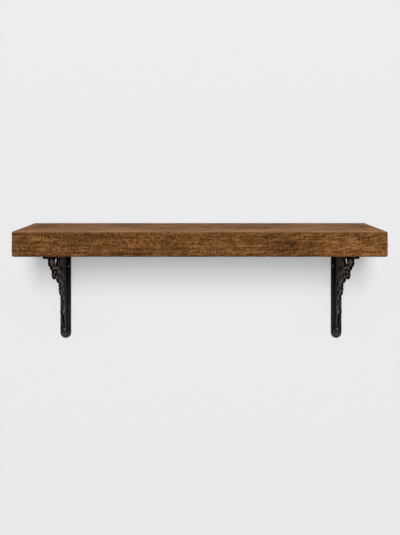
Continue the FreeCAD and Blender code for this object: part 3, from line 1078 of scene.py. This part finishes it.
@dataclass
class LeafBracket:
    """One cast bracket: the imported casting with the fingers, veins and eyes of its leaf, melted together."""

    side: Side
    voxel: float = 1.0 * MM
    melt_rounds: int = 3
    lift_rounds: int = 6
    finger_length: float = 15.0
    finger_share: float = 0.75
    finger_fan: float = 0.08
    finger_root: float = 1.8
    finger_tip: float = 0.54
    finger_half_thickness: float = 5.0
    floor: float = 2.9
    rise: float = 2.0
    gouge_depth: float = 1.3 * MM
    bead_height: float = 0.5 * MM
    ripple_depth: float = 0.3 * MM
    ripple_cell: Triple = (0.011, 0.011, 0.011)
    tool_reach: float = 15.0
    cut: float = 12.0
    seed: int = 23

    # Signs that carry side offset, reach and drop to X, Y and Z.
    SIGNS = np.array([1, -1, -1])
    # All in millimetres of reach and drop. Each lobe has a root and the tips of its fingers.
    LOBES = (
        ((205, 16), ((238, 9), (238, 18.5), (233, 23.5), (217, 25.5))),
        ((183, 29), ((212, 29), (211.5, 36.5), (197, 41))),
        ((158, 44), ((189, 47.5), (190.5, 56), (187, 63.5), (166, 68.5), (147, 69))),
        ((112, 70), ((131, 69), (128.5, 78), (119, 84.5), (103, 88))),
        ((77, 104), ((94, 93), (94.5, 106.5), (85.5, 118), (76.5, 125.5))),
        ((48, 146), ((68.5, 134), (68, 147), (67, 159.5), (65, 170.5), (57, 178.5))),
    )
    # The stalk below the leaf and the leaf's swollen tip.
    STALK = Finger((50, 158), (41, 184), (18, 224), 3.6, 4.4, 4.9)
    CURL = Finger((44, 152), (52, 164), (57, 180), 4.0, 5.5, 6.4)
    BELLY = Finger((38, 126), (35, 150), (46, 170), 3.4, 4.2, 6.3)
    # The lip in front of the pierced opening, and the opening's corners.
    LIP = Finger((171, 13), (169, 24), (166, 37), 8.0, 5.0, 2.2)
    PIERCED = ((134, 17), (161, 17), (160, 25.5), (156, 29.5), (147, 29.5))
    # Direction in which the tools were driven: from the front, a little to the side and downwards.
    SLANT = (0.184, 0.970, -0.155)
    # Eyes, grooves and notches cut between the lobes with painted shade; beads and ridges with painted
    # highlights.
    GOUGES = (
        Mark((1.7, 181, 17), (1.9, 178, 34), 1.4), Mark((3.9, 143.5, 20), (4.2, 164, 33.5), 1.9),
        stroke(2.0, 151, 46, 47, 2.0), stroke(2.0, 152.5, 54.5, 59, 1.8),
        Mark((3.4, 131, 57), (3.4, 115.5, 68.5), 1.5), stroke(4.0, 107, 73.5, 75, 1.6),
        stroke(1.9, 92.6, 44.5, 53.5, 1.2), stroke(4.0, 82, 50, 57, 1.0), stroke(2.0, 64.8, 50.4, 59.8, 1.1),
        stroke(3.6, 107.6, 21.5, 24.5, 1.4), Mark((0.5, 206, 32), (0.0, 204.7, 37.5), 2.0),
        stroke(1.0, 184, 44, 45, 1.8), stroke(0.4, 173.5, 62.5, 64, 2.4), stroke(0.7, 127.4, 73, 74, 1.8),
        stroke(0.2, 120.4, 80, 81, 1.8), stroke(3.2, 105.6, 88, 89, 1.8), stroke(1.9, 40, 94, 101, 1.3),
        stroke(3.5, 74.6, 105.5, 112, 1.2), stroke(4.0, 54.8, 117.5, 123.5, 1.3),
        stroke(2.0, 15.6, 133, 136, 1.3), stroke(0.1, 69, 130, 131, 1.9), stroke(2.7, 44.8, 142.5, 150, 1.5),
        stroke(3.7, 53.4, 162, 163, 1.1), stroke(1.6, 60, 173.5, 175, 1.6), stroke(0.7, 44, 181, 183, 1.4),
        stroke(1.9, 10.4, 179, 186, 1.4), stroke(1.1, 30.8, 206, 211, 1.3),
        stroke(1.0, 235, 10, 11, 1.3, 0.8), stroke(2.5, 234, 10, 11, 1.3, 0.8),
    )
    BEADS = (
        stroke(4.4, 230, 10, 22, 2.2, 0.3), stroke(2.0, 234.3, 15, 16, 1.5, 0.5),
        Mark((2.5, 185, 36.5), (3.5, 159.4, 39.5), 2.5, 0.6), stroke(4.3, 177, 47, 48.5, 1.7),
        stroke(0.2, 181, 50, 60, 2.0, 0.3), stroke(2.8, 147, 63, 65, 2.6, 0.55),
        stroke(3.6, 121, 68.5, 70, 1.6, 0.5), Mark((3.9, 106.5, 77.4), (3.0, 96, 87), 2.3, 0.6),
        Mark((2.9, 117, 49), (1.9, 92.5, 63.7), 1.1, 0.45), Mark((2.7, 84, 28), (3.6, 57.5, 80.7), 1.0, 0.3),
        stroke(1.9, 63, 90, 100, 1.4, 0.45), Mark((2.2, 85.5, 110), (3.8, 75, 121.7), 1.5, 0.7),
        stroke(3.4, 56.4, 109, 116, 1.4, 0.7), Mark((4.0, 57, 131), (3.7, 53.4, 138.3), 1.7, 0.8),
        stroke(4.1, 49.4, 156, 158, 1.8, 0.6), stroke(4.0, 30.5, 165, 167, 1.2),
        Mark((5.2, 55.7, 168.5), (2.9, 59.7, 175), 2.0), Mark((3.5, 41.7, 184), (3.9, 29.7, 207), 1.2, 0.6),
        Mark((0.9, 28, 213), (0.7, 26, 218), 1.8, 0.35), Mark((3.9, 106.5, 29), (1.8, 94.8, 39.4), 1.1, 0.35),
        Mark((1.8, 120, 26), (1.8, 123.7, 47.5), 1.1, 0.35),
        Mark((1.8, 62.6, 36), (2.3, 59.3, 44), 1.1, 0.25),
        Mark((1.9, 67.6, 67.4), (2.1, 35, 84.3), 1.2, 0.35),
        Mark((2.1, 35, 84.3), (2.9, 33.4, 95.4), 1.2, 0.25),
        Mark((2.9, 143.4, 50), (1.9, 135.5, 62), 1.2, 0.3),
        Mark((1.7, 121.7, 18), (3.0, 107.5, 19.7), 1.6, 0.3), stroke(3.0, 7.5, 108, 205, 2.2, 0.14),
    )

    def build(self, material: Material) -> Thing:
        """Make the bracket and dress it.

        Args:
            material: Finish of the iron.

        Returns:
            The piece.
        """
        node = f"{self.side.label}_bracket"
        low, high = np.array(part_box(node))
        self.origin = np.array([(low[0] + high[0]) / 2, 0, high[2]])
        mesh = self.melted(node)
        self.carve(mesh)
        return place_piece(mesh, f"{self.side.label}_leaf_bracket", node, material)

    def fingers(self) -> list[Finger]:
        """Fingers of every lobe, fanned from the lobe's root, with the stalk and the curled tip.

        Returns:
            The fingers.
        """
        made = [self.STALK, self.CURL, self.BELLY, self.LIP]
        for root, ends in self.LOBES:
            tips = np.array(ends, float)
            spread = np.linalg.norm(np.diff(tips, axis=0), axis=1).mean()
            away = tips - np.array(root)
            reach = np.linalg.norm(away, axis=1, keepdims=True)
            feet = tips - away / reach * np.minimum(self.finger_length, self.finger_share * reach)
            bends = (tips + feet) / 2 + self.finger_fan * (tips - tips.mean(axis=0))
            sizes = self.finger_root, self.finger_tip * spread, self.finger_half_thickness
            made.extend(Finger(*map(tuple, line), *sizes) for line in zip(feet, bends, tips))
        return made

    def melted(self, node: str) -> Mesh:
        """Casting and fingers joined into one skin of even small faces.

        Args:
            node: Node whose mesh is copied.

        Returns:
            The new mesh.
        """
        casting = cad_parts[node].data
        corners = np.empty(len(casting.loops), dtype=np.int64)
        casting.loops.foreach_get("vertex_index", corners)
        parts = [skin("casting", points_of(casting), corners.reshape(-1, 3))]
        for finger in self.fingers():
            local, faces = finger.tube()
            parts.append(skin("finger", self.world(local), faces))
        joined = bmesh.new()
        for part in parts:
            joined.from_mesh(part)
            bpy.data.meshes.remove(part)
        whole = bpy.data.meshes.new(f"{node}_joined")
        joined.to_mesh(whole)
        joined.free()
        holder, blade = add_object(whole.name, whole), add_object("blade", self.blade())
        self.add_melt(holder)
        pierce = holder.modifiers.new("pierce", "BOOLEAN")
        pierce.operation = "DIFFERENCE"
        pierce.object = blade
        self.add_melt(holder)
        ready = holder.evaluated_get(bpy.context.evaluated_depsgraph_get())
        mesh = bpy.data.meshes.new_from_object(ready)
        for spent in (whole, blade.data):
            bpy.data.meshes.remove(spent)
        mesh.name = f"{node}_cast"
        mesh.shade_smooth()
        return mesh

    def add_melt(self, holder: Thing) -> None:
        """Melt whatever an object has become so far into one skin of even faces.

        Args:
            holder: The object.
        """
        melt = holder.modifiers.new("melt", "REMESH")
        melt.mode = "VOXEL"
        melt.voxel_size = self.voxel

    def blade(self) -> Mesh:
        """Prism over the pierced opening's corners, right through the leaf.

        Returns:
            The mesh that is cut out.
        """
        ring = np.array(self.PIERCED, float)
        ends = [np.column_stack([np.full(len(ring), offset), ring]) for offset in (-self.cut, self.cut)]
        centres = [end.mean(axis=0, keepdims=True).repeat(len(ring), axis=0) for end in ends]
        rows = np.concatenate([centres[0], ends[0], ends[1], centres[1]])
        return skin("blade", self.world(rows), grid_faces(4, len(ring)))

    def world(self, local: Array) -> Array:
        """Places in metres of points given as side offset, reach and drop in millimetres."""
        return self.origin + local * self.SIGNS * MM

    def carve(self, mesh: Mesh) -> None:
        """Soften the skin, sink the gouges and raise the beads, then paint it.

        Args:
            mesh: The melted casting.
        """
        points = points_of(mesh)
        for _ in range(self.melt_rounds):
            points += 0.5 * (neighbour_mean(mesh, points) - points)
        move_points(mesh, points)
        local = (points - self.origin) * self.SIGNS / MM
        gouged, beaded = self.marked(local, self.GOUGES), self.marked(local, self.BEADS)
        ripple = layered_noise(points, self.ripple_cell, self.seed, 2)
        depth = self.gouge_depth * gouged - self.bead_height * beaded + self.ripple_depth * ripple
        points -= normals_of(mesh) * depth[:, None]
        move_points(mesh, points)
        # Only the beads on the face towards the middle of the shelf carry the painted highlight.
        lit_face = fade(-self.side.value * local[:, 0], -2, 0)
        self.paint_wear_and_light(mesh, local, ripple, gouged, beaded * lit_face)

    def paint_wear_and_light(self, mesh: Mesh, local: Array, ripple: Array, gouged: Array, beaded: Array) -> None:
        """Paint the skin: proud where worn by rubbing and where highlights are painted, hollow where wax and
        painted shade keep it dark.

        Args:
            mesh: The carved casting.
            local: Side offset, reach and drop of each point, in millimetres.
            ripple: Uneven wear, from 0 to 1.
            gouged: Depth in a gouge, from 0 to 1.
            beaded: Height on a bead that carries a painted highlight, from 0 to 1.
        """
        lift = lift_of(mesh, self.lift_rounds)
        offset, reach, drop = np.abs(local[:, 0]), local[:, 1], local[:, 2]
        height = (offset - self.floor) / self.rise

        # Regions, each 1 inside and 0 outside: the leaf off the straps, its front edges, the margin of the
        # lowest lobe, the leaf's rear, the boss's rim, the arm under the board, the leg and the leaf's floor.
        leaf = fade(reach, 7, 10) * fade(drop, 7, 10)
        facing = fade(-normals_of(mesh)[:, 1], 0.72, 0.97)
        low_lobe = fade(drop, 128, 136) * fade(drop, 182, 178)
        margin = facing * low_lobe * leaf
        rear = fade(reach, 112, 92) * fade(drop, 140, 128) * leaf
        rim = fade(drop, 214, 218) * fade(drop, 238, 234) * fade(offset, 3.5, 5)
        under_board = fade(drop, 9, 5) * fade(offset, 4, 7)
        leg = fade(reach, 9, 7) * (0.4 + 1.2 * ripple)
        floor = fade(height, 0, -0.4) * leaf * (1 - margin) * (1 - 0.85 * rear)

        # Raised parts and sharp edges show rubbing and painted reflection; front faces keep painted shade.
        front_shade = facing * (0.8 - 0.5 * low_lobe)
        rubbed = 0.42 * np.clip(height, 0, 1) * leaf * (1 - front_shade) + np.clip((lift - 0.1) / 2, 0, 0.3)
        rubbed = np.max([rubbed * (1 - 0.75 * rim), 0.3 * margin, 0.08 * rear], axis=0)
        # Painted light: the leg grows lighter downwards, out of the board's shade, and most of all at its
        # foot.
        leg_light = 0.012 + 0.055 * fade(drop, 60, 120) + 0.17 * fade(drop, 230, 244)
        leg_light += 0.055 * fade(drop, 140, 170) * fade(drop, 222, 212)
        # Painted shade, with the wax: the hollows, the leaf's floor between the ribs and the arm under the
        # board.
        dark = np.max([fade(-lift, 0.08, 0.48), 0.85 * floor, 0.8 * under_board], axis=0)
        paint(mesh, "proud", np.max([rubbed * (1 - under_board), leg * leg_light, beaded], axis=0))
        paint(mesh, "hollow", np.maximum(dark * (1 - np.clip(2 * beaded, 0, 1)), gouged))

    def marked(self, local: Array, marks: Sequence[Mark]) -> Array:
        """How deep each point lies in a set of strokes, as a bell over its distance from each one's line.

        The distance is square to the slant of the tools. Both faces of the leaf carry the same strokes.

        Args:
            local: Side offset, reach and drop of each point, in millimetres.
            marks: The strokes.

        Returns:
            From 0 outside every stroke to a stroke's strength on its line.
        """
        slant = np.array(self.SLANT) / np.linalg.norm(self.SLANT)
        folded = np.column_stack([np.abs(local[:, 0]), local[:, 1:]])
        depth = np.zeros(len(local))
        for mark in marks:
            away, run = folded - np.array(mark.start), np.subtract(mark.stop, mark.start)
            along = away @ slant
            flat, line = away - along[:, None] * slant, run - (run @ slant) * slant
            share = np.clip(flat @ line / (line @ line), 0, 1)
            gap = np.linalg.norm(flat - share[:, None] * line, axis=1) / mark.radius
            near = np.abs(along - share * (run @ slant)) < self.tool_reach
            depth = np.maximum(depth, mark.strength * np.exp(-(gap**4)) * near)
        return depth


# The screws


@dataclass
class WoodScrew:
    """Round-head slotted wood screw with a rolled thread and a gimlet point."""

    node: str
    axis: Axis
    slot_turn: float
    # Strength of the painted highlight on the crown, and its width as a share of the head's radius.
    bright: float = 0.4
    crown: float = 1.5
    head_height: float = 3.2 * MM
    head_rim: float = 0.6 * MM
    slot_width: float = 1.3 * MM
    slot_depth: float = 1.6 * MM
    shank_radius: float = 2.3 * MM
    core_radius: float = 1.45 * MM
    crest_radius: float = 2.05 * MM
    pitch: float = 2.2 * MM
    point_length: float = 6.0 * MM
    sides: int = 48
    dome_steps: int = 22
    slot_sharpness: int = 14
    grip_share: float = 0.28
    steps_per_pitch: int = 9
    ridge_share: float = 0.3
    point_taper: float = 0.7
    lift_rounds: int = 3

    def build(self, material: Material) -> Thing:
        """Make the screw and dress it.

        Args:
            material: Finish of the steel.

        Returns:
            The piece.
        """
        low, high = np.array(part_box(self.node))
        size = high - low
        self.length = float(size[self.axis.value]) - self.head_height
        self.head_radius = float(size[0]) / 2
        vertices, faces = self.turned()
        seat = (low + high) / 2
        seat[self.axis.value] = low[self.axis.value] + self.head_height
        mesh = skin(self.node, vertices @ self.axes() + seat, faces)
        self.paint_wear_and_light(mesh, seat)
        name = self.node.replace("_screw", "_slotted_screw")
        return place_piece(mesh, name, self.node, material)

    def turned(self) -> tuple[Array, Array]:
        """Radius as a function of height and angle, about the screw's own axis.

        The head is a ball cap with a slot cut across it, the shank a plain cylinder, and the thread a
        ridge whose height depends on how far the height, less the angle's share of a pitch, is through
        a pitch. The radius runs out to nothing over the point.

        Returns:
            Points about the seat, head downwards, and faces.
        """
        angle = np.linspace(0, 2 * math.pi, self.sides, endpoint=False)
        rise = self.head_height - self.head_rim
        ball = (self.head_radius**2 + rise**2) / (2 * rise)
        out = np.sin(np.linspace(0, math.pi / 2, self.dome_steps)) * self.head_radius
        dome = -self.head_rim - (np.sqrt(ball**2 - out**2) - (ball - rise))
        head_points = np.stack([out[:, None] * np.cos(angle), out[:, None] * np.sin(angle)], -1)
        slot_side = np.abs(head_points[..., 1]) / (self.slot_width / 2)
        floor = -self.head_height + self.slot_depth
        inside = 1 / (1 + slot_side**self.slot_sharpness)
        head_level = dome[:, None] + inside * np.maximum(floor - dome[:, None], 0)

        grip = self.length * self.grip_share
        shank = np.array([0, 0, grip])
        shank_radius = np.array([self.head_radius, self.shank_radius, self.shank_radius])
        steps = int((self.length - grip) / (self.pitch / self.steps_per_pitch))
        heights = np.linspace(grip, self.length, steps)[:, None]
        run_in = fade(heights, grip, grip + self.pitch)
        run_out = fade(heights, self.length, self.length - self.point_length) ** self.point_taper
        through = (heights / self.pitch - angle[None] / (2 * math.pi)) % 1
        ridge = np.clip(1 - np.abs(through - 0.5) / self.ridge_share, 0, 1)
        radius = (self.core_radius + ridge * run_in * (self.crest_radius - self.core_radius)) * run_out
        radius = np.concatenate([np.repeat(shank_radius[:, None], self.sides, 1), radius])
        level = np.concatenate([np.repeat(shank[:, None], self.sides, 1), np.repeat(heights, self.sides, 1)])
        body = np.stack([radius * np.cos(angle), radius * np.sin(angle), level], -1)
        head = np.concatenate([head_points, head_level[..., None]], -1)
        points = np.concatenate([head, body])
        return points.reshape(-1, 3), grid_faces(len(points), self.sides)

    def axes(self) -> Array:
        """Directions of the screw's own axes: along the slot, square to it, and from head to point.

        Returns:
            One direction in each row.
        """
        cos, sin = math.cos(self.slot_turn), math.sin(self.slot_turn)
        turn = np.array([[cos, sin, 0], [-sin, cos, 0], [0, 0, 1]])
        if self.axis is Axis.UPWARDS:
            return turn
        return turn @ np.array([[1, 0, 0], [0, 0, -1], [0, 1, 0]])

    def paint_wear_and_light(self, mesh: Mesh, seat: Array) -> None:
        """Paint the crown of the head lighter, as steel worn by rubbing with a painted highlight, and its slot
        and hollows dark with painted shade.

        Args:
            mesh: The finished screw.
            seat: Place of the head's seat.
        """
        lift = lift_of(mesh, self.lift_rounds)
        own = (points_of(mesh) - seat) @ self.axes().T
        depth = -own[:, 2] / self.head_height
        in_slot = (np.abs(own[:, 1]) < 0.55 * self.slot_width) * np.clip(4 * depth, 0, 1) * (depth < 0.8)
        middle = np.exp(-((own[:, 0] / (self.crown * self.head_radius)) ** 4))
        paint(mesh, "proud", self.bright * middle * np.clip(1.3 * depth + lift, 0, 1))
        paint(mesh, "hollow", np.maximum(fade(-lift, 0, 0.12), in_slot))


def make_screws(material: Material) -> list[Thing]:
    """Every screw of the shelf: three into the wall and two up into the board at each bracket.

    Args:
        material: Finish of the steel.

    Returns:
        The pieces.
    """
    draw = np.random.default_rng(5)
    rows = (
        ("upper_inner_wall_screw", Axis.INTO_WALL), ("upper_outer_wall_screw", Axis.INTO_WALL),
        ("inner_shelf_screw", Axis.UPWARDS), ("outer_shelf_screw", Axis.UPWARDS),
    )
    made = []
    for side in Side:
        for name, axis in rows:
            made.append(WoodScrew(f"{side.label}_{name}", axis, draw.uniform(0, math.pi)).build(material))
        name = f"{side.label}_lower_wall_screw"
        # The lower screws have a stronger, narrower painted highlight and a wider slot.
        low = WoodScrew(name, Axis.INTO_WALL, 0.0, bright=1.0, crown=0.62, slot_width=2.8 * MM)
        made.append(low.build(material))
    return made


def main() -> None:
    """Build every piece and the studio round them."""
    logging.basicConfig(level=logging.INFO, format="%(name)s: %(message)s")
    pieces = [ShelfBoard().build(TimberFinish().material())]
    iron = IronFinish().material()
    pieces.extend(LeafBracket(side).build(iron) for side in Side)
    steel = IronFinish(name="black_steel", proud=(0.42, 0.335, 0.29), roughness=(0.33, 0.50), grit=0.08 * MM)
    pieces.extend(make_screws(steel.material()))
    Studio().build(pieces)


if __name__ == "__main__":
    main()
